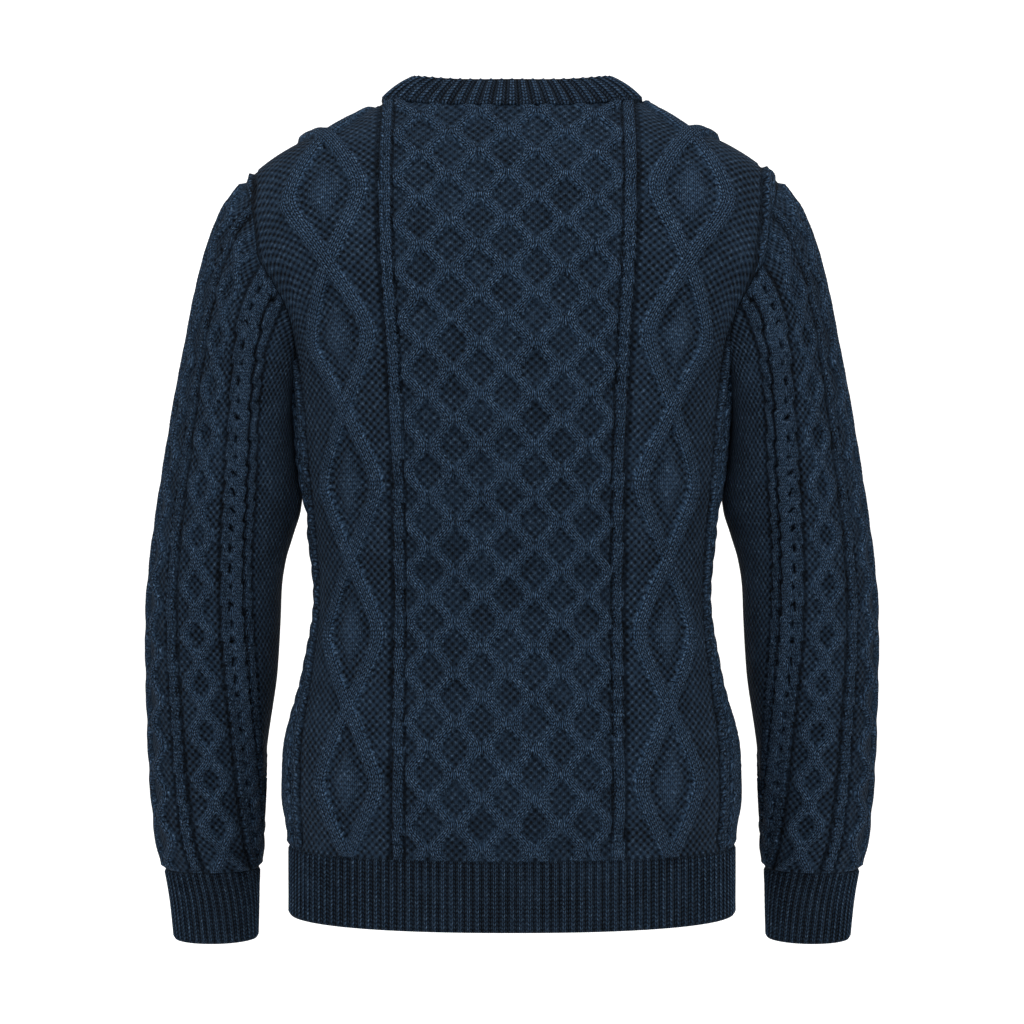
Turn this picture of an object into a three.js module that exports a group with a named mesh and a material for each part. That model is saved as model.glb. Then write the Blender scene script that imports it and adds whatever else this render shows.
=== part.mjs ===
import * as THREE from 'three';

// An aran crew-neck sweater with set-in sleeves, holding its worn shape with no wearer.
// Millimetres, +Z up. The front faces -Y and +X is the wearer's left. The origin is the
// middle of the neck opening, level with the points where shoulder seams meet the neck.

// Cloth
const panelWall = 3.5;
const ribWall = 4;
const neckbandWall = 5; // the band is folded double
const seamGap = 0.3;

// Levels and widths of the cut, worn
const shoulderHalf = 215;
const shoulderZ = -63;
const underarmZ = -245;
const hemSeamZ = -600;
const hemEdgeZ = -655;
const neckHalf = 104;
const backNeck = { centreZ: -9, power: 3 };
const frontNeck = { centreZ: -75, power: 2.6 };
const armhole = { halfDepth: 60, midZ: (shoulderZ + underarmZ) / 2, halfHeight: (shoulderZ - underarmZ) / 2 };

// Level sections of the body: half width, and depth behind and in front of the side seams.
// The last rows narrow to the waist, blouse out above the rib and draw in at the rib.
const sectionPower = 2.3;
const bodySections = [
  { z: 12, halfWidth: 94, back: 49, front: 38 },
  { z: 2, halfWidth: 104, back: 55, front: 42 },
  { z: -9, halfWidth: 122, back: 62, front: 46 },
  { z: -18, halfWidth: 140, back: 67, front: 50 },
  { z: -34, halfWidth: 177, back: 76, front: 57 },
  { z: -51, halfWidth: 203, back: 85, front: 64 },
  { z: -63, halfWidth: 215, back: 90, front: 69 },
  { z: -90, halfWidth: 222, back: 99, front: 79 },
  { z: -126, halfWidth: 226, back: 108, front: 92 },
  { z: -150, halfWidth: 212, back: 112, front: 99 },
  { z: -175, halfWidth: 195, back: 116, front: 106 },
  { z: -205, halfWidth: 183, back: 119, front: 111 },
  { z: -245, halfWidth: 177, back: 119, front: 115 },
  { z: -300, halfWidth: 171, back: 113, front: 113 },
  { z: -346, halfWidth: 163, back: 106, front: 109 },
  { z: -400, halfWidth: 158, back: 98, front: 105 },
  { z: -461, halfWidth: 167, back: 102, front: 105 },
  { z: -526, halfWidth: 184, back: 112, front: 109 },
  { z: -559, halfWidth: 185, back: 114, front: 110 },
  { z: -592, halfWidth: 180, back: 110, front: 107 },
  { z: -655, halfWidth: 180, back: 108, front: 105 },
];

// Sections across the left sleeve, from the armhole to the cuff's edge. Each lies in a plane
// through its outer and its underarm point and along Y. The forearm comes slightly forward.
const cuffSeamRow = 13;
const cuffEdgeRow = 15;
const sleeveSections = [
  { row: 0, outerX: 215, outerZ: -63, innerX: 177, innerZ: -245, midY: 0, halfDepth: 60 },
  { row: 1, outerX: 231, outerZ: -84, innerX: 176.2, innerZ: -262, midY: 0, halfDepth: 62 },
  { row: 2, outerX: 244, outerZ: -116, innerX: 174.2, innerZ: -280, midY: 0, halfDepth: 62 },
  { row: 3, outerX: 254, outerZ: -154, innerX: 172.2, innerZ: -298, midY: 0, halfDepth: 61 },
  { row: 4, outerX: 262, outerZ: -195, innerX: 170.2, innerZ: -313, midY: 0, halfDepth: 60 },
  { row: 5, outerX: 270, outerZ: -236, innerX: 172, innerZ: -330, midY: 0, halfDepth: 58 },
  { row: 6, outerX: 277, outerZ: -277, innerX: 177.5, innerZ: -350, midY: -1, halfDepth: 56 },
  { row: 7, outerX: 284, outerZ: -320, innerX: 183.5, innerZ: -370, midY: -2, halfDepth: 54 },
  { row: 8, outerX: 290.5, outerZ: -365, innerX: 187, innerZ: -392, midY: -4, halfDepth: 53 },
  { row: 9, outerX: 295, outerZ: -411, innerX: 188.5, innerZ: -420, midY: -8, halfDepth: 52 },
  { row: 10, outerX: 296, outerZ: -461, innerX: 191.5, innerZ: -461, midY: -14, halfDepth: 50 },
  { row: 11, outerX: 295.5, outerZ: -528, innerX: 201.5, innerZ: -528, midY: -24, halfDepth: 46 },
  { row: 12, outerX: 291.5, outerZ: -596, innerX: 207.5, innerZ: -596, midY: -33, halfDepth: 42 },
  { row: 13, outerX: 286.5, outerZ: -625, innerX: 210, innerZ: -625, midY: -37, halfDepth: 38 },
  { row: 14, outerX: 282.5, outerZ: -651, innerX: 211, innerZ: -651, midY: -40, halfDepth: 36 },
  { row: 15, outerX: 279.5, outerZ: -684, innerX: 212, innerZ: -684, midY: -43, halfDepth: 35 },
];
const capFadeRows = 4; // the armhole's curve dies out of the sleeve's sections over these rows

// The neckband's free edge, and how far the band swells between seam and edge
const bandEdge = { half: 79, backY: 47, frontY: 50, sideZ: 22, backZ: 13, frontZ: -49 };
const bandSwell = 2;

// How finely the cloth is divided
const neckColumns = 6; // from the centre line to the neck point
const shoulderColumns = 7; // from the neck point to the shoulder point
const armholeRows = 10; // from the underarm to the shoulder point
const sideRows = 11; // from the hem seam to the underarm
const sleeveRows = 17;
const ribRows = 2;
const profileSteps = 240; // fine points from which evenly spaced ones are picked
const seamHalvings = 40; // steps that find the shoulder seam's level

const navyWool = { color: 0x1d2a40, roughness: 0.95, metalness: 0 };

// A smooth curve through the values that doesn't overshoot between them.
function smoothCurve(at, values) {
  const steps = at.slice(1).map((x, i) => (values[i + 1] - values[i]) / (x - at[i]));
  const slopes = at.map((x, i) => {
    const before = steps[Math.max(0, i - 1)];
    const after = steps[Math.min(steps.length - 1, i)];
    return before * after <= 0 ? 0 : (2 * before * after) / (before + after);
  });
  return (x) => {
    const next = at.findIndex((knot) => knot >= x);
    const i = Math.min(Math.max(next === -1 ? steps.length : next, 1), steps.length) - 1;
    const width = at[i + 1] - at[i];
    const t = (x - at[i]) / width;
    const rise = t * t * (3 - 2 * t);
    const leave = t * (1 - t) * (1 - t) * width * slopes[i];
    const arrive = t * t * (t - 1) * width * slopes[i + 1];
    return values[i] + (values[i + 1] - values[i]) * rise + leave + arrive;
  };
}

// Every column of a table as a smooth curve over its key column.
function curvesOf(table, key) {
  const rows = [...table].sort((p, q) => p[key] - q[key]);
  const at = rows.map((row) => row[key]);
  const columns = Object.keys(rows[0]).filter((name) => name !== key);
  return Object.fromEntries(columns.map((name) => [name, smoothCurve(at, rows.map((row) => row[name]))]));
}

const body = curvesOf(bodySections, 'z');
const sleeve = curvesOf(sleeveSections, 'row');

// The shoulder seam runs along the body's widest line: its level where the body is this wide.
function shoulderSeamZ(half) {
  let low = shoulderZ;
  let high = bodySections[0].z;
  for (let halving = 0; halving < seamHalvings; halving += 1) {
    const middle = (low + high) / 2;
    if (body.halfWidth(middle) > half) low = middle;
    else high = middle;
  }
  return low;
}

function smoothStep(x, low, high) {
  return THREE.MathUtils.smoothstep(x, low, high);
}

// One coordinate of a rounded section, where the other has gone this share of its own half.
function roundedShare(share) {
  return (1 - Math.min(1, share) ** sectionPower) ** (1 / sectionPower);
}

// side is 1 behind the side seams and -1 in front of them.
function depthAt(z, side) {
  return side > 0 ? body.back(z) : body.front(z);
}

function bodyPoint(x, z, side) {
  const y = depthAt(z, side) * roundedShare(Math.abs(x) / body.halfWidth(z));
  return new THREE.Vector3(x, side * Math.max(y, seamGap / 2), z);
}

// Outward from the body's skin, from how the rounded section's level grows along each axis.
function bodyNormal(point) {
  const side = point.y < 0 ? -1 : 1;
  const level = (x, y, z) =>
    (Math.abs(x) / body.halfWidth(z)) ** sectionPower + (Math.abs(y) / depthAt(z, side)) ** sectionPower;
  const h = seamGap / 6;
  const { x, y, z } = point;
  return new THREE.Vector3(
    level(x + h, y, z) - level(x - h, y, z),
    level(x, y + h, z) - level(x, y - h, z),
    level(x, y, z + h) - level(x, y, z - h),
  ).normalize();
}

// turn runs from 0 at the shoulder point to 1 at the underarm, behind or in front.
function armholePoint(turn, side, inset) {
  const z = armhole.midZ + (armhole.halfHeight - inset) * Math.cos(Math.PI * turn);
  const y = (armhole.halfDepth - inset) * Math.sin(Math.PI * turn);
  return new THREE.Vector3(body.halfWidth(z) * roundedShare(y / depthAt(z, side)), side * y, z);
}

// Where a panel ends at this level: at the shoulder point's width, the armhole or the side seam.
function panelEdge(z, side) {
  if (z >= shoulderZ) return shoulderHalf;
  if (z <= underarmZ) return body.halfWidth(z);
  const turn = Math.acos((z - armhole.midZ) / armhole.halfHeight) / Math.PI;
  return armholePoint(turn, side, 0).x;
}

// share runs from 0 on the centre line to 1 on the panel's edge. Columns are evenly spaced at
// the shoulder, and by the section's own angle below the underarm.
function columnX(share, z, side) {
  const round = Math.sin((Math.PI / 2) * share) ** (2 / sectionPower);
  const below = 1 - smoothStep(z, underarmZ, shoulderZ);
  return panelEdge(z, side) * THREE.MathUtils.lerp(share, round, below);
}

function neckZ(x, side, inset) {
  const neck = side > 0 ? backNeck : frontNeck;
  const half = neckHalf - inset;
  const rise = shoulderSeamZ(half) - neck.centreZ - inset;
  return neck.centreZ + inset + rise * (Math.abs(x) / half) ** neck.power;
}

function columnTop(share, side) {
  const x = shoulderHalf * share;
  return x < neckHalf ? neckZ(x, side, 0) : shoulderSeamZ(x);
}

// Evenly spaced points along a fine run of points.
function evenly(fine, count) {
  const lengths = [0];
  fine.slice(1).forEach((point, i) => lengths.push(lengths[i] + point.distanceTo(fine[i])));
  const total = lengths[lengths.length - 1];
  return Array.from({ length: count + 1 }, (_, k) => {
    const wanted = (total * k) / count;
    const past = lengths.slice(1, -1).findIndex((length) => length >= wanted);
    const i = past === -1 ? fine.length - 1 : past + 1;
    const t = (wanted - lengths[i - 1]) / (lengths[i] - lengths[i - 1]);
    return fine[i - 1].clone().lerp(fine[i], THREE.MathUtils.clamp(t, 0, 1));
  });
}

// A fine run down one column, with its points closest together near its top.
function columnRun(share, fromZ, toZ, side) {
  return Array.from({ length: profileSteps + 1 }, (_, k) => {
    const left = 1 - k / profileSteps;
    const z = toZ - (toZ - fromZ) * left * left;
    return bodyPoint(columnX(share, z, side), z, side);
  });
}

function armholeRun(side, inset) {
  const turns = Array.from({ length: profileSteps + 1 }, (_, k) => 1 - k / profileSteps);
  return turns.map((turn) => armholePoint(turn, side, inset));
}

function panelColumn(share, side) {
  const below = evenly(columnRun(share, hemSeamZ + seamGap / 2, underarmZ, side), sideRows);
  const onArmhole = share === 1;
  const above = onArmhole ? armholeRun(side, 0) : columnRun(share, underarmZ, columnTop(share, side), side);
  return [...below, ...evenly(above, armholeRows).slice(1)];
}

// Columns from the centre line to the edge, with one on the neck point, then both halves.
function columnShares() {
  const neckShare = neckHalf / shoulderHalf;
  const half = [];
  for (let i = 1; i <= neckColumns; i += 1) half.push(neckShare * Math.sin((Math.PI / 2) * (i / neckColumns)));
  for (let i = 1; i <= shoulderColumns; i += 1) half.push(neckShare + (1 - neckShare) * (i / shoulderColumns));
  half[half.length - 1] = 1;
  return [...half.map((share) => -share).reverse(), 0, ...half];
}

// The left half's column, mirrored for the right half, with the skin's normal at each point.
function mirroredColumn(share, makeColumn) {
  const mirror = share < 0 ? -1 : 1;
  return makeColumn(Math.abs(share)).map((point) => {
    const kept = point.clone();
    if (Math.abs(kept.y) < seamGap / 2) kept.y = (kept.y < 0 ? -1 : 1) * (seamGap / 2);
    kept.x *= mirror;
    return { point: kept, normal: bodyNormal(kept) };
  });
}

// A closed wall of cloth. skin[column][row] holds outer points and normals, and a tube's
// columns close on themselves.
function clothWall(name, skin, thickness, isTube) {
  const columns = skin.length;
  const rows = skin[0].length;
  const positions = [];
  for (const depth of [0, thickness]) {
    for (const column of skin) {
      for (const { point, normal } of column) positions.push(...point.clone().addScaledVector(normal, -depth));
    }
  }
  const at = (layer, i, j) => (layer * columns + (i % columns)) * rows + j;
  const index = [];
  const quad = (a, b, c, d) => index.push(a, b, c, a, c, d);
  const last = rows - 1;
  const spans = isTube ? columns : columns - 1;
  for (let i = 0; i < spans; i += 1) {
    for (let j = 0; j < last; j += 1) {
      quad(at(0, i, j), at(0, i + 1, j), at(0, i + 1, j + 1), at(0, i, j + 1));
      quad(at(1, i, j), at(1, i, j + 1), at(1, i + 1, j + 1), at(1, i + 1, j));
    }
    quad(at(0, i, 0), at(1, i, 0), at(1, i + 1, 0), at(0, i + 1, 0));
    quad(at(0, i, last), at(0, i + 1, last), at(1, i + 1, last), at(1, i, last));
  }
  for (let j = 0; j < last && !isTube; j += 1) {
    quad(at(0, 0, j), at(0, 0, j + 1), at(1, 0, j + 1), at(1, 0, j));
    quad(at(0, spans, j), at(1, spans, j), at(1, spans, j + 1), at(0, spans, j + 1));
  }
  const outward = new THREE.Vector3().subVectors(skin[1][0].point, skin[0][0].point);
  outward.cross(new THREE.Vector3().subVectors(skin[0][1].point, skin[0][0].point));
  if (outward.dot(skin[0][0].normal) < 0) index.reverse();
  const geometry = new THREE.BufferGeometry();
  geometry.setAttribute('position', new THREE.Float32BufferAttribute(positions, 3));
  geometry.setIndex(index);
  geometry.computeVertexNormals();
  const mesh = new THREE.Mesh(geometry, new THREE.MeshStandardMaterial(navyWool));
  mesh.name = name;
  return mesh;
}

function panel(name, side) {
  const column = (share) => panelColumn(share, side);
  return clothWall(name, columnShares().map((share) => mirroredColumn(share, column)), panelWall, false);
}

// The hem rib takes up the panel's own columns below the seam.
function hemRib(name, side) {
  const column = (share) => Array.from({ length: ribRows + 1 }, (_, j) => {
    const z = THREE.MathUtils.lerp(hemEdgeZ, hemSeamZ - seamGap / 2, j / ribRows);
    return bodyPoint(columnX(share, z, side), z, side);
  });
  return clothWall(name, columnShares().map((share) => mirroredColumn(share, column)), ribWall, false);
}

// A point of the left sleeve's skin. around runs from the outer line (0) over the back
// (a quarter) to the underarm line (a half) and round the front.
function sectionPoint(around, row) {
  const angle = 2 * Math.PI * around;
  const out = (1 + Math.cos(angle)) / 2;
  return new THREE.Vector3(
    THREE.MathUtils.lerp(sleeve.innerX(row), sleeve.outerX(row), out),
    sleeve.midY(row) + sleeve.halfDepth(row) * Math.sin(angle),
    THREE.MathUtils.lerp(sleeve.innerZ(row), sleeve.outerZ(row), out),
  );
}

// The sleeve's first ring lies on the armhole seam, evenly spaced as the panels' rows are.
function armholeRing() {
  const halves = [1, -1].map((side) => evenly(armholeRun(side, seamGap).reverse(), armholeRows));
  const front = halves[1].slice(1, -1).reverse();
  return [...halves[0], ...front].map((point, i) => {
    const around = i / (2 * armholeRows);
    const underarm = (1 - Math.cos(2 * Math.PI * around)) / 2;
    return point.clone().addScaledVector(bodyNormal(point), seamGap * underarm);
  });
}

function sleevePoint(ring, i, row) {
  const around = i / ring.length;
  const fade = 1 - smoothStep(row, 0, capFadeRows);
  const toArmhole = ring[i].clone().sub(sectionPoint(around, 0));
  return sectionPoint(around, row).addScaledVector(toArmhole, fade);
}

// Outward normal of a tube's skin at a vertex, from its neighbours on the grid.
function gridNormal(grid, i, j) {
  const next = grid[(i + 1) % grid.length][j];
  const previous = grid[(i + grid.length - 1) % grid.length][j];
  const before = grid[i][Math.max(0, j - 1)];
  const after = grid[i][Math.min(grid[0].length - 1, j + 1)];
  const lengthWay = new THREE.Vector3().subVectors(before, after);
  return new THREE.Vector3().subVectors(next, previous).cross(lengthWay).normalize();
}

// The sleeve's rows from one section to another. At the armhole the wall's edge turns to lie
// beside the panels' edge where the seam is flat, at the top of the shoulder.
function sleeveSkin(fromRow, toRow, rows) {
  const ring = armholeRing();
  const step = (toRow - fromRow) / rows;
  const grid = ring.map((_, i) => Array.from({ length: rows + 1 }, (__, j) =>
    sleevePoint(ring, i, fromRow + step * j)));
  return grid.map((column, i) => column.map((point, j) => {
    const normal = gridNormal(grid, i, j);
    const atSeam = fromRow === 0 && j === 0;
    const flat = atSeam ? (1 + Math.cos((2 * Math.PI * i) / ring.length)) / 2 : 0;
    return { point, normal: normal.lerp(bodyNormal(point), flat).normalize() };
  }));
}

function mirrored(skin, mirror) {
  const flip = new THREE.Vector3(mirror, 1, 1);
  return skin.map((column) => column.map(({ point, normal }) => ({
    point: point.clone().multiply(flip),
    normal: normal.clone().multiply(flip),
  })));
}

function sleevePieces(name, mirror) {
  const gapRows = seamGap / 2 / (sleeve.outerZ(cuffSeamRow) - sleeve.outerZ(cuffSeamRow + 1));
  const tube = sleeveSkin(0, cuffSeamRow - gapRows, sleeveRows);
  const cuff = sleeveSkin(cuffSeamRow + gapRows, cuffEdgeRow, ribRows);
  return [
    clothWall(`sleeve_${name}`, mirrored(tube, mirror), panelWall, true),
    clothWall(`cuff_${name}`, mirrored(cuff, mirror), ribWall, true),
  ];
}

// The band from its seam on the neckline to its free edge. angle is 0 at the back's centre.
function bandPoint(angle, rise) {
  const side = Math.cos(angle) < 0 ? -1 : 1;
  const across = Math.sin(angle);
  const seamX = (neckHalf - seamGap) * across;
  const seam = bodyPoint(seamX, neckZ(seamX, side, seamGap), side);
  if (Math.abs(Math.cos(angle)) < 1e-6) seam.y = 0;
  const edgeY = side > 0 ? bandEdge.backY : bandEdge.frontY;
  const edgeZ = side > 0 ? bandEdge.backZ : bandEdge.frontZ;
  const power = side > 0 ? backNeck.power : frontNeck.power;
  const edge = new THREE.Vector3(
    bandEdge.half * across,
    edgeY * Math.cos(angle),
    edgeZ + (bandEdge.sideZ - edgeZ) * Math.abs(across) ** power,
  );
  const swell = bandSwell * 4 * rise * (1 - rise);
  return seam.clone().lerp(edge, rise).addScaledVector(bodyNormal(seam), swell);
}

function neckband() {
  const around = 4 * neckColumns;
  const grid = Array.from({ length: around }, (_, i) => Array.from({ length: ribRows + 1 }, (__, j) =>
    bandPoint((2 * Math.PI * i) / around, j / ribRows)));
  const skin = grid.map((column, i) => column.map((point, j) => {
    const normal = gridNormal(grid, i, j);
    return { point, normal: j === 0 ? bodyNormal(point) : normal };
  }));
  return clothWall('neckband', skin, neckbandWall, true);
}

const sweater = new THREE.Group();
sweater.add(
  panel('back', 1),
  panel('front', -1),
  ...sleevePieces('left', 1),
  ...sleevePieces('right', -1),
  neckband(),
  hemRib('hem_rib_back', 1),
  hemRib('hem_rib_front', -1),
);

export default sweater;
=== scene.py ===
import math

import bmesh
import bpy
import numpy as np
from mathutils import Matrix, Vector


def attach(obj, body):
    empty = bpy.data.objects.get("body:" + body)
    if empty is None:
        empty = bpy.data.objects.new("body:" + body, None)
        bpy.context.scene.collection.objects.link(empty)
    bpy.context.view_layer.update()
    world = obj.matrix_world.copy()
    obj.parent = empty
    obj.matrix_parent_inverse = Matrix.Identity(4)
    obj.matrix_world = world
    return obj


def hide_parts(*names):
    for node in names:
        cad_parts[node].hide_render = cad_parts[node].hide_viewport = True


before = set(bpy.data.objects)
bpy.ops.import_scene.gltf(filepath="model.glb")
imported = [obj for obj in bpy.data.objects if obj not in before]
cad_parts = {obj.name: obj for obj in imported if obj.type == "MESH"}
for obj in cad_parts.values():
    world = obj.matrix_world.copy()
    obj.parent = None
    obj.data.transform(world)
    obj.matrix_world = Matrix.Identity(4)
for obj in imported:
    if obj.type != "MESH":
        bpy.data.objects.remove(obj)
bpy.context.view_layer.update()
mm = 0.001

# The cut, worn, in millimetres. The front faces -Y and +X is the wearer's left.
cut = {
    "shoulderHalf": 215, "shoulderZ": -63, "underarmZ": -245, "hemSeamZ": -600, "hemEdgeZ": -655,
    "neckHalf": 104, "armholeDepth": 60, "seamGap": 0.3, "sectionPower": 2.3,
}
necks = {1: {"centreZ": -9, "power": 3}, -1: {"centreZ": -75, "power": 2.6}}  # behind and in front
bodySections = {
    "z": [12, 2, -9, -18, -34, -51, -63, -90, -126, -150, -175, -205, -245, -300, -346, -400, -461,
          -526, -559, -592, -655],
    "halfWidth": [94, 104, 122, 140, 177, 203, 215, 222, 226, 212, 195, 183, 177, 171, 163, 158, 167,
                  184, 185, 180, 180],
    "back": [49, 55, 62, 67, 76, 85, 90, 99, 108, 112, 116, 119, 119, 113, 106, 98, 102, 112, 114,
             110, 108],
    "front": [38, 42, 46, 50, 57, 64, 69, 79, 92, 99, 106, 111, 115, 113, 109, 105, 105, 109, 110,
              107, 105],
}
sleeveSections = {
    "row": list(range(16)),
    "outerX": [215, 231, 244, 254, 262, 270, 277, 284, 290.5, 295, 296, 295.5, 291.5, 286.5, 282.5, 279.5],
    "outerZ": [-63, -84, -116, -154, -195, -236, -277, -320, -365, -411, -461, -528, -596, -625, -651, -684],
    "innerX": [177, 176.2, 174.2, 172.2, 170.2, 172, 177.5, 183.5, 187, 188.5, 191.5, 201.5, 207.5,
               210, 211, 212],
    "innerZ": [-245, -262, -280, -298, -313, -330, -350, -370, -392, -420, -461, -528, -596, -625, -651,
               -684],
    "midY": [0, 0, 0, 0, 0, 0, -1, -2, -4, -8, -14, -24, -33, -37, -40, -43],
    "halfDepth": [60, 62, 62, 61, 60, 58, 56, 54, 53, 52, 50, 46, 42, 38, 36, 35],
}
cuffSeamRow = 13
cuffEdgeRow = 15
capFadeRows = 4
bandEdge = {"half": 79, "backY": 47, "frontY": 50, "sideZ": 22, "backZ": 13, "frontZ": -49}


def smoothCurve(at, values):  # through the values, with no overshoot between them
    order = np.argsort(at)
    at = np.array(at, float)[order]
    values = np.array(values, float)[order]
    steps = np.diff(values) / np.diff(at)
    before = np.concatenate([steps[:1], steps])
    after = np.concatenate([steps, steps[-1:]])
    turning = before * after <= 0
    slopes = np.where(turning, 0, 2 * before * after / np.where(turning, 1, before + after))

    def curve(x):
        x = np.asarray(x, float)
        i = np.clip(np.searchsorted(at, x) - 1, 0, len(at) - 2)
        width = at[i + 1] - at[i]
        t = (x - at[i]) / width
        rise = t * t * (3 - 2 * t)
        ends = t * (1 - t) * width * ((1 - t) * slopes[i] - t * slopes[i + 1])
        return values[i] + (values[i + 1] - values[i]) * rise + ends

    return curve


def curvesOf(table, key):
    return {name: smoothCurve(table[key], column) for name, column in table.items() if name != key}


body = curvesOf(bodySections, "z")
sleeve = curvesOf(sleeveSections, "row")


def smoothStep(x, low, high):
    t = np.clip((np.asarray(x, float) - low) / (high - low), 0, 1)
    return t * t * (3 - 2 * t)


def mix(a, b, t):
    return a + (b - a) * t


def roundedShare(share):
    return (1 - np.clip(share, 0, 1) ** cut["sectionPower"]) ** (1 / cut["sectionPower"])


def depthAt(z, side):
    return body["back"](z) if side > 0 else body["front"](z)


def bodySkin(x, z, side):
    y = depthAt(z, side) * roundedShare(np.abs(x) / body["halfWidth"](z))
    return np.stack([x, side * np.maximum(y, cut["seamGap"] / 2), z], -1)


def bodyNormal(points, side):
    power = cut["sectionPower"]

    def level(x, y, z):
        return (np.abs(x) / body["halfWidth"](z)) ** power + (np.abs(y) / depthAt(z, side)) ** power

    x, y, z = points[..., 0], points[..., 1], points[..., 2]
    h = cut["seamGap"] / 6
    normal = np.stack([
        level(x + h, y, z) - level(x - h, y, z),
        level(x, y + h, z) - level(x, y - h, z),
        level(x, y, z + h) - level(x, y, z - h),
    ], -1)
    return normal / np.linalg.norm(normal, axis=-1, keepdims=True)


def armholeCurve(turn, side, inset=0.0):  # turn: 0 at the shoulder point, 1 at the underarm
    middle = (cut["shoulderZ"] + cut["underarmZ"]) / 2
    half = (cut["shoulderZ"] - cut["underarmZ"]) / 2
    z = middle + (half - inset) * np.cos(math.pi * turn)
    y = (cut["armholeDepth"] - inset) * np.sin(math.pi * turn)
    x = body["halfWidth"](z) * roundedShare(y / depthAt(z, side))
    return np.stack([x, side * y, z], -1)


def panelEdge(z, side):
    middle = (cut["shoulderZ"] + cut["underarmZ"]) / 2
    half = (cut["shoulderZ"] - cut["underarmZ"]) / 2
    turn = np.arccos(np.clip((z - middle) / half, -1, 1)) / math.pi
    onArmhole = armholeCurve(turn, side)[..., 0]
    edge = np.where(z <= cut["underarmZ"], body["halfWidth"](z), onArmhole)
    return np.where(z >= cut["shoulderZ"], cut["shoulderHalf"], edge)


def columnX(share, z, side):
    rounded = np.sin(math.pi / 2 * share) ** (2 / cut["sectionPower"])
    below = 1 - smoothStep(z, cut["underarmZ"], cut["shoulderZ"])
    return panelEdge(z, side) * mix(share, rounded, below)


def shoulderSeamZ(half):  # where the body is this wide, above the shoulder point
    low = np.full(np.shape(half), float(cut["shoulderZ"]))
    high = np.full(np.shape(half), float(bodySections["z"][0]))
    for _ in range(40):
        middle = (low + high) / 2
        wide = body["halfWidth"](middle) > half
        low = np.where(wide, middle, low)
        high = np.where(wide, high, middle)
    return low


def neckZ(x, side, inset=0.0):
    neck = necks[side]
    half = cut["neckHalf"] - inset
    rise = shoulderSeamZ(half) - neck["centreZ"] - inset
    return neck["centreZ"] + inset + rise * (np.abs(x) / half) ** neck["power"]


def evenly(fine, count):  # evenly spaced points along each fine run; fine is (runs, points, 3)
    lengths = np.concatenate([np.zeros((len(fine), 1)),
                              np.cumsum(np.linalg.norm(np.diff(fine, axis=1), axis=2), axis=1)], 1)
    picked = np.empty((len(fine), count + 1, 3))
    for run, length, out in zip(fine, lengths, picked):
        wanted = np.linspace(0, length[-1], count + 1)
        for axis in range(3):
            out[:, axis] = np.interp(wanted, length, run[:, axis])
    return picked, lengths[:, -1]


def panelSkin(side, columns, rows, fineSteps=260):
    share = np.linspace(-1, 1, columns + 1)
    size = np.abs(share)
    topX = cut["shoulderHalf"] * size
    top = np.where(topX < cut["neckHalf"], neckZ(topX, side), shoulderSeamZ(topX))
    bottom = cut["hemSeamZ"] + cut["seamGap"] / 2
    left = 1 - np.linspace(0, 1, fineSteps + 1)
    z = top[:, None] - (top[:, None] - bottom) * left[None, :] ** 2
    x = columnX(size[:, None], z, side)
    fine = bodySkin(x, z, side)
    z0 = np.linspace(bottom, cut["underarmZ"], fineSteps // 2)
    seam = bodySkin(body["halfWidth"](z0), z0, side)
    hole = armholeCurve(np.linspace(1, 0, fineSteps + 2 - len(z0))[1:], side)
    for edge in (0, -1):
        fine[edge] = np.concatenate([seam, hole])
    points, lengths = evenly(fine, rows)
    points[..., 0] *= np.sign(share)[:, None]
    t = lengths[:, None] * np.linspace(0, 1, rows + 1)[None, :]
    return points, bodyNormal(points, side), sectionArc(points, side), t


def sectionArc(points, side, chords=24):
    # the distance round the level section from the centre line, which is x itself at the shoulders
    x, z = np.abs(points[..., 0]), points[..., 2]
    half, depth = body["halfWidth"](z), depthAt(z, side)
    power = cut["sectionPower"]
    angle = np.arcsin(np.clip(x / half, 0, 1) ** (power / 2))
    arc = np.zeros_like(x)
    previous = (np.zeros_like(x), depth)
    for k in range(1, chords + 1):
        turned = angle * k / chords
        here = (half * np.sin(turned) ** (2 / power), depth * np.cos(turned) ** (2 / power))
        arc += np.hypot(here[0] - previous[0], here[1] - previous[1])
        previous = here
    below = 1 - smoothStep(z, -200, -90)
    return np.sign(points[..., 0]) * mix(x, arc, below)


def sectionRing(around, row):
    angle = 2 * math.pi * around
    out = (1 + np.cos(angle)) / 2
    return np.stack([
        mix(sleeve["innerX"](row), sleeve["outerX"](row), out),
        sleeve["midY"](row) + sleeve["halfDepth"](row) * np.sin(angle),
        mix(sleeve["innerZ"](row), sleeve["outerZ"](row), out),
    ], -1)


def gridNormals(points):  # of a tube whose first and last columns are one
    ring = points[:-1]
    across = np.roll(ring, -1, 0) - np.roll(ring, 1, 0)
    normal = np.cross(across, np.gradient(ring, axis=1))
    normal /= np.linalg.norm(normal, axis=-1, keepdims=True)
    return np.concatenate([normal, normal[:1]])


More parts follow.
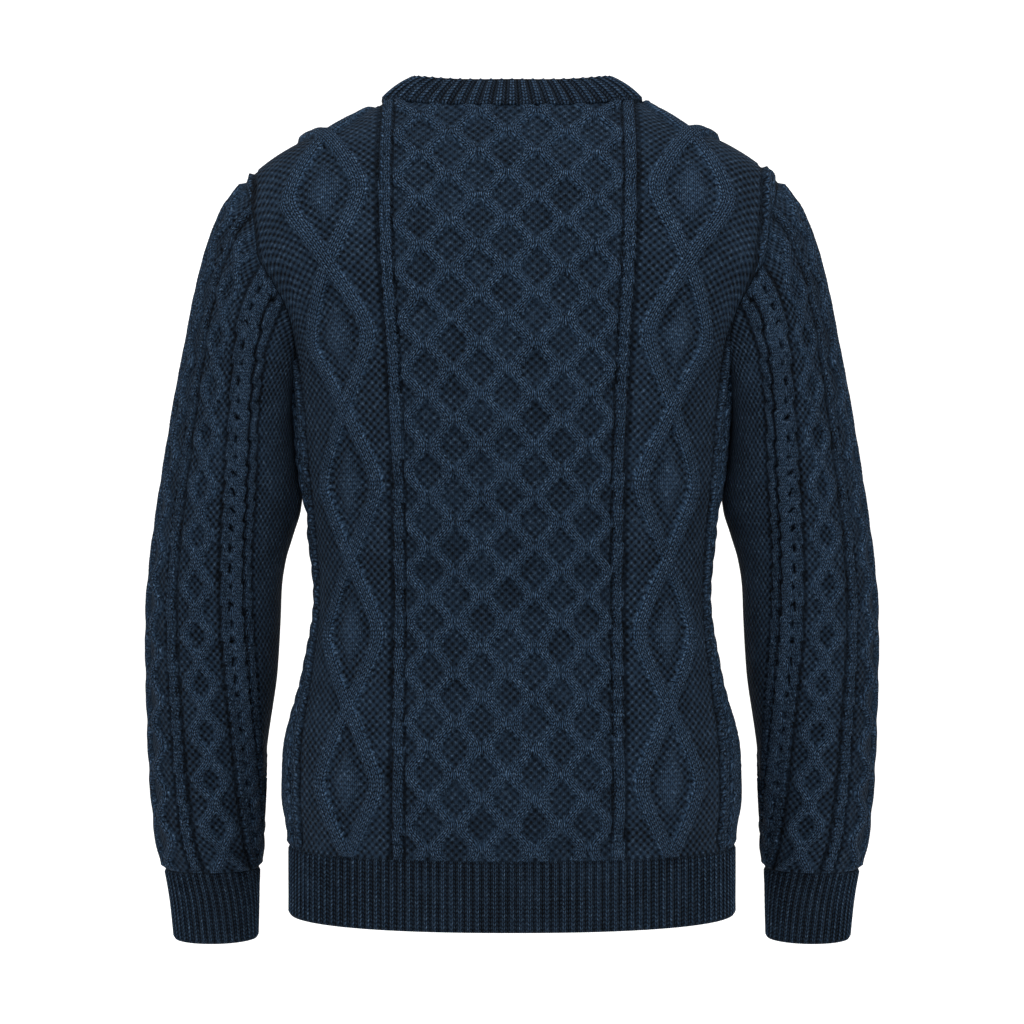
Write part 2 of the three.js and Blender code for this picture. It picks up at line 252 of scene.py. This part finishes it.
def sleeveSkin(fromRow, toRow, columns, rows, fineSteps=240):
    # columns run round from the outer line over the back; rows run up to the armhole
    quarter = columns // 2
    turns = np.linspace(0, 1, fineSteps)
    halves = [evenly(armholeCurve(turns, side, cut["seamGap"])[None], quarter)[0][0] for side in (1, -1)]
    ring = np.concatenate([halves[0], halves[1][::-1][1:]])
    around = np.linspace(0, 1, columns + 1)[:, None]
    lean = (1 - np.cos(2 * math.pi * around)) / 2 * cut["seamGap"]
    for side, picked in ((1, ring[:, 1] >= 0), (-1, ring[:, 1] < 0)):
        ring[picked] += (bodyNormal(ring, side) * lean)[picked]
    row = np.linspace(toRow, fromRow, fineSteps)[None, :]
    fade = 1 - smoothStep(row, 0, capFadeRows)
    toArmhole = ring[:, None] - sectionRing(around, np.zeros((1, 1)))
    fine = sectionRing(around, row) + toArmhole * fade[..., None]
    points, lengths = evenly(fine, rows)
    normals = gridNormals(points)
    chord = np.linalg.norm(np.diff(points, axis=0), axis=2)
    arc = np.concatenate([np.zeros((1, rows + 1)), np.cumsum(chord, 0)])
    arc = np.where(around > 0.5, arc - arc[-1:], arc)
    t = lengths[:, None] * np.linspace(0, 1, rows + 1)[None, :]
    return points, normals, arc, t


# How the fabric is knitted, in millimetres of cloth
knit = {"stitchWide": 3.2, "stitchTall": 3.2}
honeycomb = {"spacing": 20.4, "swing": 5.7, "repeat": 39.2, "start": 9, "strandHalf": 4.6, "height": 4.2}
bodyPlan = {
    "middle": 3, "honeycombEdge": 80, "column": 86, "diamondCentre": 129, "diamondHalf": 31,
    "diamondRepeat": 118, "bandHalf": 5.6, "bandHeight": 4.4, "outerColumn": 188,
    "rope": 204, "outerColumn2": 218,
}
sleevePlan = {"honeycombEdge": 43, "column": 52, "chainCentre": 80, "column2": 108, "rope": 121,
              "column3": 134}
chain = {"swing": 11, "repeat": 40, "strandHalf": 4.8, "height": 4.2}
ropeCable = {"half": 8.5, "repeat": 30, "height": 3.4}


def ridge(distance, half):
    return np.sqrt(np.clip(1 - (distance / half) ** 2, 0, 1))


class Cloth:
    # the highest strand at a point gives its height and its stitches
    def __init__(self, s, t, sAt, tAt):
        self.s, self.t, self.sAt, self.tAt = s, t, sAt, tAt
        self.height = np.full(np.shape(s), -0.6)
        self.wale = sAt / knit["stitchWide"]
        self.course = tAt / knit["stitchTall"]
        self.plain = np.ones(np.shape(s))

    def strand(self, centre, half, height, where=True, lift=0.0):
        # centre gives a strand's middle line at a height t
        distance = self.s - centre(self.t)
        inside = (np.abs(distance) < half) & where
        here = height * (0.25 + 0.75 * ridge(distance, half)) + lift
        over = inside & (here > self.height)
        self.height = np.where(over, here, self.height)
        lean = centre(self.tAt + 0.5) - centre(self.tAt - 0.5)
        aside = self.sAt - centre(self.tAt)
        self.wale = np.where(over, aside / np.hypot(1, lean) / knit["stitchWide"] + 0.5, self.wale)
        self.course = np.where(over, (self.tAt + lean * aside) / knit["stitchTall"], self.course)
        self.plain = np.where(over, 0.0, self.plain)
        return over


def wave(t, repeat):
    return np.cos(2 * math.pi * t / repeat)


def honeycombStrands(cloth, edge):
    # side-by-side strands that lean together and apart, so that the gaps between them are cells
    gap, swing, repeat = honeycomb["spacing"], honeycomb["swing"], honeycomb["repeat"]
    pairs = round(edge / gap)
    for k in range(-pairs, pairs):
        way = -1 if k % 2 else 1
        cloth.strand(lambda t, m=(k + 0.5) * gap, w=way: m + w * swing * wave(t - honeycomb["start"], repeat),
                     honeycomb["strandHalf"], honeycomb["height"])


def twistedRibs(cloth, middle, sway=0.0):  # a pair of thin twisted ribs between sunk purl lines
    for offset in (-2.5, 2.5):
        cloth.strand(lambda t, o=offset: middle + o + sway * np.sin(2 * math.pi * t / 9), 2.3, 2.4)
    for offset in (-5.8, 5.8):
        sunk = np.abs(cloth.s - middle - offset) < 1.8
        cloth.height = np.where(sunk, -2.4, cloth.height)


def ropeStrands(cloth, middle):  # two strands that turn round each other
    repeat = ropeCable["repeat"]
    swing = ropeCable["half"] / 2
    for start in (0, 0.5):
        phase = (cloth.t / repeat + start) % 1
        front = 0.5 + 0.5 * np.cos(2 * math.pi * phase)
        cloth.strand(lambda t, p=start: middle + swing * np.sin(2 * math.pi * (t / repeat + p)),
                     swing + 1, ropeCable["height"], True, 1.2 * (front - 0.5))


def slanted(t, repeat):  # straight runs with rounded turns
    return np.arcsin(0.96 * np.sin(math.pi * t / repeat)) / math.asin(0.96)


def diamondPanel(cloth, middle):  # two wide bands that cross, with a small diamond in each opening
    repeat = bodyPlan["diamondRepeat"]
    reach = bodyPlan["diamondHalf"] - bodyPlan["bandHalf"]
    for way in (1, -1):
        crossing = np.sign(np.cos(math.pi * cloth.t / repeat)) * 0.6 * way
        for part in (-1, 1):
            offset = part * bodyPlan["bandHalf"] / 2
            cloth.strand(
                lambda t, w=way, o=offset: middle + w * reach * slanted(t, repeat) + o,
                bodyPlan["bandHalf"] / 2 + 0.8, bodyPlan["bandHeight"], True, crossing)
    # a small knitted diamond in the middle of each large one
    along = (cloth.t / repeat) % 1 - 0.5
    across = (cloth.s - middle) / (0.52 * reach)
    lozenge = np.abs(across) + np.abs(along) / 0.24
    inner = lozenge < 1
    cloth.height = np.where(inner & (cloth.plain > 0.5), 1.5 * (1 - lozenge ** 2) + 0.4, cloth.height)
    cloth.plain = np.where(inner & (cloth.plain > 0.5), 0.35, cloth.plain)


def bodyPattern(s, t, sAt, tAt):
    s, sAt = s - bodyPlan["middle"], sAt - bodyPlan["middle"]
    cloth = Cloth(np.abs(s), t, np.abs(sAt), tAt)
    mirrored = Cloth(s, t, sAt, tAt)
    honeycombStrands(mirrored, bodyPlan["honeycombEdge"])
    middle = np.abs(s) < bodyPlan["honeycombEdge"]
    diamondPanel(cloth, bodyPlan["diamondCentre"])
    twistedRibs(cloth, bodyPlan["column"], 0.7)
    twistedRibs(cloth, bodyPlan["outerColumn"], 0.7)
    ropeStrands(cloth, bodyPlan["rope"])
    twistedRibs(cloth, bodyPlan["outerColumn2"], 0.7)
    return [np.where(middle, a, b) for a, b in (
        (mirrored.height, cloth.height), (mirrored.wale, cloth.wale),
        (mirrored.course, cloth.course), (mirrored.plain * 0.8, cloth.plain))]


def sleevePattern(s, t, sAt, tAt):
    cloth = Cloth(np.abs(s), t, np.abs(sAt), tAt)
    mirrored = Cloth(s, t, sAt, tAt)
    honeycombStrands(mirrored, sleevePlan["honeycombEdge"])
    middle = np.abs(s) < sleevePlan["honeycombEdge"]
    for way in (1, -1):
        cloth.strand(lambda t, w=way: sleevePlan["chainCentre"] + w * (1 + chain["swing"] * (0.5 + 0.5 * wave(
            t, chain["repeat"]))) * 1.0, chain["strandHalf"], chain["height"])
    twistedRibs(cloth, sleevePlan["column"], 0.7)
    twistedRibs(cloth, sleevePlan["column2"], 0.7)
    ropeStrands(cloth, sleevePlan["rope"])
    twistedRibs(cloth, sleevePlan["column3"], 0.7)
    return [np.where(middle, a, b) for a, b in (
        (mirrored.height, cloth.height), (mirrored.wale, cloth.wale),
        (mirrored.course, cloth.course), (mirrored.plain * 0.8, cloth.plain))]


def ribPattern(pitch, height):
    def pattern(s, t, sAt, tAt):
        turn = np.cos(2 * math.pi * s / pitch)
        wale = sAt / pitch * 2
        return [height * turn, wale, tAt / knit["stitchTall"],
                np.zeros(np.shape(s))]
    return pattern


def widening(points):  # the columns spread towards the shoulders
    return 1 + 0.12 * smoothStep(points[..., 2], -330, -40)


def sampled(grid, i, j):  # a grid's value at fractional places
    i0 = np.clip(np.floor(i).astype(int), 0, grid.shape[0] - 2)
    j0 = np.clip(np.floor(j).astype(int), 0, grid.shape[1] - 2)
    di, dj = i - i0, j - j0
    return (grid[i0, j0] * (1 - di) * (1 - dj) + grid[i0 + 1, j0] * di * (1 - dj)
            + grid[i0, j0 + 1] * (1 - di) * dj + grid[i0 + 1, j0 + 1] * di * dj)


def clothPiece(name, skin, pattern, wall, material, tube=False, mirror=1, edgeFade=5.0, calm=None):
    # a closed wall of cloth on its skin, with the pattern raised on the outer face
    points, normals, s, t = skin
    columns, rows = points.shape[0] - 1, points.shape[1] - 1
    bm = bmesh.new()
    bmesh.ops.create_grid(bm, x_segments=columns, y_segments=rows, size=0.5)
    raised = bmesh.ops.extrude_face_region(bm, geom=bm.faces[:], use_keep_orig=True)["geom"]
    bmesh.ops.translate(bm, vec=(0, 0, 1), verts=[v for v in raised if isinstance(v, bmesh.types.BMVert)])
    bmesh.ops.recalc_face_normals(bm, faces=bm.faces[:])
    if tube:  # the two ends meet, so they need no rim
        rims = [f for f in bm.faces if all(abs(abs(v.co.x) - 0.5) < 1e-6 for v in f.verts)]
        bmesh.ops.delete(bm, geom=rims, context="FACES_ONLY")
    mesh = bpy.data.meshes.new(name)
    bm.to_mesh(mesh)
    bm.free()
    flat = np.empty(len(mesh.vertices) * 3)
    mesh.vertices.foreach_get("co", flat)
    flat = flat.reshape(-1, 3)
    column = np.rint((flat[:, 0] + 0.5) * columns).astype(int)
    row = np.rint((flat[:, 1] + 0.5) * rows).astype(int)
    outer = flat[:, 2] > 0.5
    height = pattern(s, t, s, t)[0]
    toEnd = np.minimum(t, t[:, -1:] - t)
    if not tube:
        toEnd = np.minimum(toEnd, np.minimum(s - s[:1], s[-1:] - s))
    fade = smoothStep(toEnd, 0, edgeFade)
    if calm is not None:
        fade = fade * calm(points)
    placed = points + normals * (height * fade)[..., None]
    inner = points - normals * wall
    if tube:
        placed[-1] = placed[0]
        inner[-1] = inner[0]
    place = np.where(outer[:, None], placed[column, row], inner[column, row]) * [mirror * mm, mm, mm]
    mesh.vertices.foreach_set("co", place.ravel())
    addKnitUV(mesh, pattern, s, t, column, row, outer)
    across, up = points[1:, 1:] - points[:-1, 1:], points[1:, 1:] - points[1:, :-1]
    if (np.cross(across, up) * normals[1:, 1:]).sum() * mirror < 0:
        mesh.flip_normals()
    if tube:
        bm = bmesh.new()
        bm.from_mesh(mesh)
        ends = [v for v in bm.verts if any(e.is_boundary for e in v.link_edges)]
        bmesh.ops.remove_doubles(bm, verts=ends, dist=1e-6)
        bm.to_mesh(mesh)
        bm.free()
    mesh.shade_smooth()
    mesh.materials.append(material)
    piece = bpy.data.objects.new(name, mesh)
    bpy.context.scene.collection.objects.link(piece)
    print("made", name, len(mesh.polygons), "faces")
    return piece


def addKnitUV(mesh, pattern, s, t, column, row, outer):
    # each face takes the strand at its own middle, and its corners that strand's stitch numbers
    loops = np.empty(len(mesh.loops), int)
    mesh.loops.foreach_get("vertex_index", loops)
    starts = np.empty(len(mesh.polygons), int)
    mesh.polygons.foreach_get("loop_start", starts)
    corners = loops[starts[:, None] + np.arange(4)[None, :]]
    i, j = column[corners], row[corners]
    middle = [sampled(grid, i.mean(1), j.mean(1))[:, None] * np.ones(4) for grid in (s, t)]
    wale, course = pattern(middle[0], middle[1], s[i, j], t[i, j])[1:3]
    uv = mesh.uv_layers.new(name="stitches")
    places = np.zeros((len(mesh.loops), 2))
    order = starts[:, None] + np.arange(4)[None, :]
    places[order, 0] = wale
    places[order, 1] = course
    uv.data.foreach_set("uv", places.ravel())
    moss = mesh.attributes.new("moss", "FLOAT", "POINT")
    plainGrid = pattern(s, t, s, t)[3]
    moss.data.foreach_set("value", plainGrid[column, row].astype(np.float32))
    # the relief heights, -1 on the inner face, are kept for the material, which paints shade from them where
    # the cloth is low
    relief = mesh.attributes.new("relief", "FLOAT", "POINT")
    heights = np.where(outer, pattern(s, t, s, t)[0][column, row], -1.0)
    relief.data.foreach_set("value", heights.astype(np.float32))


def linear(hexColour):
    parts = [int(hexColour[k:k + 2], 16) / 255 for k in (0, 2, 4)]
    return [p / 12.92 if p <= 0.04045 else ((p + 0.055) / 1.055) ** 2.4 for p in parts] + [1.0]


def addNode(tree, kind, settings=None, links=None):
    # settings are properties, or inputs by name or number; links are inputs from other sockets
    node = tree.nodes.new(kind)
    for key, value in (settings or {}).items():
        if isinstance(key, int) or key in node.inputs.keys():
            node.inputs[key].default_value = value
        else:
            setattr(node, key, value)
    for key, socket in (links or {}).items():
        tree.links.new(socket, node.inputs[key])
    return node


woollen = {
    # the first colour is a near-black painted shade, which the wool's colour falls to in the stitch gaps and
    # the low places of the relief
    "paintedShade": "010306", "base": "2b4057", "fleck": "6c88a6", "roughness": 0.95,
    "sheen": 0.02, "sheenTint": "8fa6c0", "stitchRelief": 1.6,  # mm
    "legLean": 1.3,
}


def woollenSpun(name):
    # heathered woollen-spun wool, hand-framed cable knit: matt, with a pale nap and mixed fibres, and painted
    # shade in the stitch gaps and the low places of the relief
    material = bpy.data.materials.new(name)
    material.use_nodes = True
    tree = material.node_tree
    shader = tree.nodes["Principled BSDF"]
    shader.inputs["Roughness"].default_value = woollen["roughness"]
    shader.inputs["Specular IOR Level"].default_value = 0.08
    shader.inputs["Sheen Weight"].default_value = woollen["sheen"]
    shader.inputs["Sheen Roughness"].default_value = 0.5
    shader.inputs["Sheen Tint"].default_value = linear(woollen["sheenTint"])
    uv = addNode(tree, "ShaderNodeUVMap", {"uv_map": "stitches"}).outputs[0]
    place = addNode(tree, "ShaderNodeTexCoord").outputs["Object"]
    split = addNode(tree, "ShaderNodeSeparateXYZ", links={0: uv})
    wale, course = split.outputs[0], split.outputs[1]
    # each stitch is a V: two legs that lean together
    waleShare = addNode(tree, "ShaderNodeMath", {"operation": "FRACT"}, {0: wale}).outputs[0]
    offMiddle = addNode(tree, "ShaderNodeMath", {"operation": "SUBTRACT", 1: 0.5},
                        {0: waleShare}).outputs[0]
    across = addNode(tree, "ShaderNodeMath", {"operation": "ABSOLUTE"}, {0: offMiddle}).outputs[0]
    lean = addNode(tree, "ShaderNodeMath", {"operation": "MULTIPLY", 1: woollen["legLean"]},
                   {0: across}).outputs[0]
    slanted = addNode(tree, "ShaderNodeMath", {"operation": "ADD"}, {0: course, 1: lean}).outputs[0]
    courseShare = addNode(tree, "ShaderNodeMath", {"operation": "FRACT"}, {0: slanted}).outputs[0]
    courseTurn = addNode(tree, "ShaderNodeMath", {"operation": "MULTIPLY", 1: math.pi},
                         {0: courseShare}).outputs[0]
    along = addNode(tree, "ShaderNodeMath", {"operation": "SINE"}, {0: courseTurn}).outputs[0]
    legTurn = addNode(tree, "ShaderNodeMath", {"operation": "MULTIPLY", 1: 2 * math.pi},
                      {0: across}).outputs[0]
    legs = addNode(tree, "ShaderNodeMath", {"operation": "SINE"}, {0: legTurn}).outputs[0]
    fullness = addNode(tree, "ShaderNodeMath", {"operation": "POWER", 1: 0.9},
                       {0: along}).outputs[0]
    stitch = addNode(tree, "ShaderNodeMath", {"operation": "MULTIPLY"},
                     {0: fullness, 1: legs}).outputs[0]
    # moss stitch: bumps on every other place
    mossAcross = addNode(tree, "ShaderNodeMath", {"operation": "MULTIPLY", 1: math.pi},
                         {0: wale}).outputs[0]
    mossAlong = addNode(tree, "ShaderNodeMath", {"operation": "MULTIPLY", 1: math.pi},
                        {0: course}).outputs[0]
    bumpWale = addNode(tree, "ShaderNodeMath", {"operation": "SINE"}, {0: mossAcross}).outputs[0]
    bumpCourse = addNode(tree, "ShaderNodeMath", {"operation": "SINE"}, {0: mossAlong}).outputs[0]
    bumps = addNode(tree, "ShaderNodeMath", {"operation": "MULTIPLY"},
                    {0: bumpWale, 1: bumpCourse}).outputs[0]
    moss = addNode(tree, "ShaderNodeMath", {"operation": "MULTIPLY_ADD", 1: 0.5, 2: 0.5},
                   {0: bumps}).outputs[0]
    kind = addNode(tree, "ShaderNodeAttribute", {"attribute_name": "moss"}).outputs["Fac"]
    knitted = addNode(tree, "ShaderNodeMix", {"data_type": "FLOAT"},
                      {0: kind, 2: stitch, 3: moss}).outputs[0]
    fibre = addNode(tree, "ShaderNodeTexNoise", {"Scale": 900.0, "Detail": 4.0, "Roughness": 0.7},
                    {"Vector": place}).outputs["Fac"]
    heather = addNode(tree, "ShaderNodeTexNoise", {"Scale": 420.0, "Detail": 3.0, "Roughness": 0.75},
                      {"Vector": place}).outputs["Fac"]
    patchy = addNode(tree, "ShaderNodeTexNoise", {"Scale": 45.0, "Detail": 2.0},
                     {"Vector": place}).outputs["Fac"]
    relief = addNode(tree, "ShaderNodeAttribute", {"attribute_name": "relief"}).outputs["Fac"]
    height = addNode(tree, "ShaderNodeMath", {"operation": "MULTIPLY_ADD", 1: 0.35},
                     {0: fibre, 2: knitted}).outputs[0]
    bump = addNode(tree, "ShaderNodeBump", {"Strength": 1.0, "Distance": woollen["stitchRelief"] * mm},
                   {"Height": height})
    # painted shade: the lower the relief, the darker the colour, so the cells, the ground beside the cables
    # and the inner face are shaded
    raised = addNode(tree, "ShaderNodeMapRange", {1: -1.6, 2: 2.4, 3: 0.16, 4: 1.0},
                     {0: relief}).outputs[0]
    # painted shade: the colour also darkens between the stitch legs, between the courses and in the moss
    # hollows
    stitchShade = addNode(tree, "ShaderNodeMath", {"operation": "MULTIPLY_ADD", 1: 1.15, 2: -0.02},
                          {0: knitted}).outputs[0]
    shade = addNode(tree, "ShaderNodeMath", {"operation": "MULTIPLY"},
                    {0: stitchShade, 1: raised}).outputs[0]
    patches = addNode(tree, "ShaderNodeMath", {"operation": "MULTIPLY_ADD", 1: 0.25, 2: -0.125},
                      {0: patchy}).outputs[0]
    # the painted shade with random patches of the yarn's own tone added; it mixes the colour from the
    # near-black painted shade up to the base, and dims the flecks
    shadeAndPatches = addNode(tree, "ShaderNodeMath", {"operation": "ADD", "use_clamp": True},
                  {0: shade, 1: patches}).outputs[0]
    base = addNode(tree, "ShaderNodeMix", {"data_type": "RGBA", 6: linear(woollen["paintedShade"]),
                                           7: linear(woollen["base"])}, {0: shadeAndPatches}).outputs[2]
    fleckShare = addNode(tree, "ShaderNodeMapRange", {1: 0.52, 2: 0.72, 3: 0.0, 4: 0.6},
                         {0: heather}).outputs[0]
    fleckLit = addNode(tree, "ShaderNodeMath", {"operation": "MULTIPLY"},
                       {0: fleckShare, 1: shadeAndPatches}).outputs[0]
    colour = addNode(tree, "ShaderNodeMix", {"data_type": "RGBA", 7: linear(woollen["fleck"])},
                     {0: fleckLit, 6: base}).outputs[2]
    tree.links.new(colour, shader.inputs["Base Color"])
    tree.links.new(bump.outputs[0], shader.inputs["Normal"])
    return material


knitWool = woollenSpun("woollen-spun cable knit")
ribWool = woollenSpun("woollen-spun rib knit")


walls = {"panel": 3.5, "rib": 4, "band": 5}  # thickness of the cloth
ribs = {"hemPitch": 6.7, "height": 1.5, "bandHeight": 1.8, "onCuff": 36, "onBand": 58}


def underArmCalm(points):  # where sleeve and body lie together the pattern is pressed flat
    near = 1 - smoothStep(np.abs(points[..., 1]), 12, 26)
    low = smoothStep(points[..., 2], -350, -330) * (1 - smoothStep(points[..., 2], -225, -200))
    beside = 1 - smoothStep(points[..., 0] ** 2, 190 ** 2, 205 ** 2)
    return 1 - near * low * beside * 0.95


def bodyPanel(name, side):
    points, normals, s, t = panelSkin(side, 206, 236)
    spread = s / widening(points)
    skin = (points, normals, spread, t)
    return clothPiece(name, skin, bodyPattern, walls["panel"], knitWool, mirror=1, calm=underArmCalm)


def hemRib(name, side, columns=432, rows=24):
    share = np.linspace(-1, 1, columns + 1)[:, None]
    z = np.linspace(cut["hemEdgeZ"], cut["hemSeamZ"] - cut["seamGap"] / 2, rows + 1)[None, :]
    x = columnX(np.abs(share), z + 0 * share, side)
    points = bodySkin(x, z + 0 * share, side)
    points[..., 0] *= np.sign(share)
    s = sectionArc(points, side)
    return clothPiece(name, (points, bodyNormal(points, side), s, z - z[:, :1] + 0 * share),
                      ribPattern(ribs["hemPitch"], ribs["height"]), walls["rib"], ribWool, edgeFade=1.5)


bandLap = 1.2  # how far the band lies over the panels' neck edge, and how far it stands off them
bandLift = 1.4


def bandSkin(columns=464, rows=16):
    angle = np.linspace(0, 2 * math.pi, columns + 1)[:, None]
    rise = np.linspace(0, 1, rows + 1)[None, :]
    points = np.empty((columns + 1, rows + 1, 3))
    for side in (1, -1):
        picked = (np.cos(angle[:, 0]) >= 0) if side > 0 else (np.cos(angle[:, 0]) < 0)
        across = np.sin(angle)
        half = cut["neckHalf"] + bandLap
        seam = bodySkin(half * np.abs(across), neckZ(half * across, side, -bandLap), side)
        seam[..., 0] *= np.sign(across)
        normal = bodyNormal(seam, side)
        seam += normal * bandLift
        end = "back" if side > 0 else "front"
        edgeY, edgeZ = bandEdge[end + "Y"], bandEdge[end + "Z"]
        edge = np.stack([bandEdge["half"] * across, edgeY * np.cos(angle),
                         edgeZ + (bandEdge["sideZ"] - edgeZ) * np.abs(across) ** necks[side]["power"]], -1)
        swell = 8 * rise * (1 - rise)
        made = mix(seam, edge, rise[..., None]) + normal * swell[..., None]
        points[picked] = made[picked]
    points[-1] = points[0]
    normals = -gridNormals(points)
    chord = np.linalg.norm(np.diff(points[:, 0], axis=0), axis=1)
    s = np.concatenate([[0], np.cumsum(chord)])[:, None] + 0 * rise
    t = np.linalg.norm(points - points[:, :1], axis=2)
    return points, normals, s, t


back = bodyPanel("back_knit", 1)
front = bodyPanel("front_knit", -1)
hemBack = hemRib("hem_rib_back_knit", 1)
hemFront = hemRib("hem_rib_front_knit", -1)
gapRows = cut["seamGap"] / 2 / 26
tubeSkin = sleeveSkin(0, cuffSeamRow - gapRows, 150, 238)
cuffSkin = sleeveSkin(cuffSeamRow + gapRows, cuffEdgeRow, 272, 24)
cuffPitch = float(cuffSkin[2][1:150, 0].max() * 2 / ribs["onCuff"])
sleeves = [clothPiece("sleeve_%s_knit" % side, tubeSkin, sleevePattern, walls["panel"], knitWool, True, way,
                      calm=underArmCalm)
           for side, way in (("left", 1), ("right", -1))]
cuffs = [clothPiece("cuff_%s_knit" % side, cuffSkin, ribPattern(cuffPitch, ribs["height"]), walls["rib"],
                    ribWool, True, way, 1.5)
         for side, way in (("left", 1), ("right", -1))]
bandPoints = bandSkin()
bandPitch = float(bandPoints[2][-1, 0] / ribs["onBand"])
band = clothPiece("neckband_knit", bandPoints, ribPattern(bandPitch, ribs["bandHeight"]), walls["band"],
                  ribWool, True, 1, 1)

panelsOf = {
    "back": (back, "navy_wool_knit", (0.50, 0.68)), "front": (front, "navy_wool_knit", (0.50, 0.68)),
    "sleeve_left": (sleeves[0], "navy_wool_knit", (0.40, 0.60)),
    "sleeve_right": (sleeves[1], "navy_wool_knit", (0.40, 0.60)),
    "neckband": (band, "navy_wool_rib", (0.56, 0.032)),
    "hem_rib_back": (hemBack, "navy_wool_rib", (0.475, 0.055)),
    "hem_rib_front": (hemFront, "navy_wool_rib", (0.475, 0.055)),
    "cuff_left": (cuffs[0], "navy_wool_rib", (0.235, 0.06)),
    "cuff_right": (cuffs[1], "navy_wool_rib", (0.235, 0.06)),
}
for node, (piece, slot, flat) in panelsOf.items():
    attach(piece, "root")
    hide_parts(node)

print("setting up the white room, the lights and the camera")
# a plain white room, soft light
bm = bmesh.new()
bmesh.ops.create_grid(bm, x_segments=1, y_segments=48, size=1)
floorZ, wallY, bendRadius = -1.0, -5.0, 2.0
for vert in bm.verts:  # a floor that bends up into a back wall
    run = (1 - vert.co.y) / 2 * 14
    straight = 5 - (wallY + bendRadius)
    bent = min(max(run - straight, 0) / bendRadius, math.pi / 2)
    up = max(run - straight - bendRadius * math.pi / 2, 0)
    vert.co = (vert.co.x * 9, 5 - min(run, straight) - bendRadius * math.sin(bent),
               floorZ + bendRadius * (1 - math.cos(bent)) + up)
backdrop = bpy.data.meshes.new("backdrop")
bm.to_mesh(backdrop)
bm.free()
floor = bpy.data.objects.new("floor", backdrop)
bpy.context.scene.collection.objects.link(floor)
backdrop.shade_smooth()
floorPaint = bpy.data.materials.new("matt white paint")
floorPaint.use_nodes = True
paint = floorPaint.node_tree.nodes["Principled BSDF"]
paint.inputs["Base Color"].default_value = linear("f4f4f4")
paint.inputs["Roughness"].default_value = 0.9
paint.inputs["Emission Color"].default_value = (1, 1, 1, 1)
paint.inputs["Emission Strength"].default_value = 0.55
backdrop.materials.append(floorPaint)

world = bpy.data.worlds.new("white room")
bpy.context.scene.world = world
world.use_nodes = True
world.node_tree.nodes["Background"].inputs[0].default_value = (1, 1, 1, 1)
world.node_tree.nodes["Background"].inputs[1].default_value = 0.3


def softbox(name, place, aim, size, power):
    light = bpy.data.objects.new(name, bpy.data.lights.new(name, "AREA"))
    light.data.shape = "RECTANGLE"
    light.data.size, light.data.size_y = size
    light.data.energy = power
    light.location = place
    light.rotation_euler = (Vector(aim) - Vector(place)).to_track_quat("-Z", "Y").to_euler()
    bpy.context.scene.collection.objects.link(light)


softbox("top light", (0, 1.2, 1.6), (0, 0, -0.25), (2.0, 1.2), 62)
softbox("left light", (1.8, 1.4, 0.1), (0, 0, -0.3), (1.0, 1.8), 14)
softbox("right light", (-1.8, 1.4, 0.1), (0, 0, -0.3), (1.0, 1.8), 14)

camera = bpy.data.objects.new("camera", bpy.data.cameras.new("camera"))
camera.location = (0, 1.983, -0.331)
camera.rotation_euler = (math.pi / 2, 0, math.pi)
camera.data.lens = 85.7
bpy.context.scene.collection.objects.link(camera)
bpy.context.scene.camera = camera
bpy.context.scene.view_settings.view_transform = "Standard"
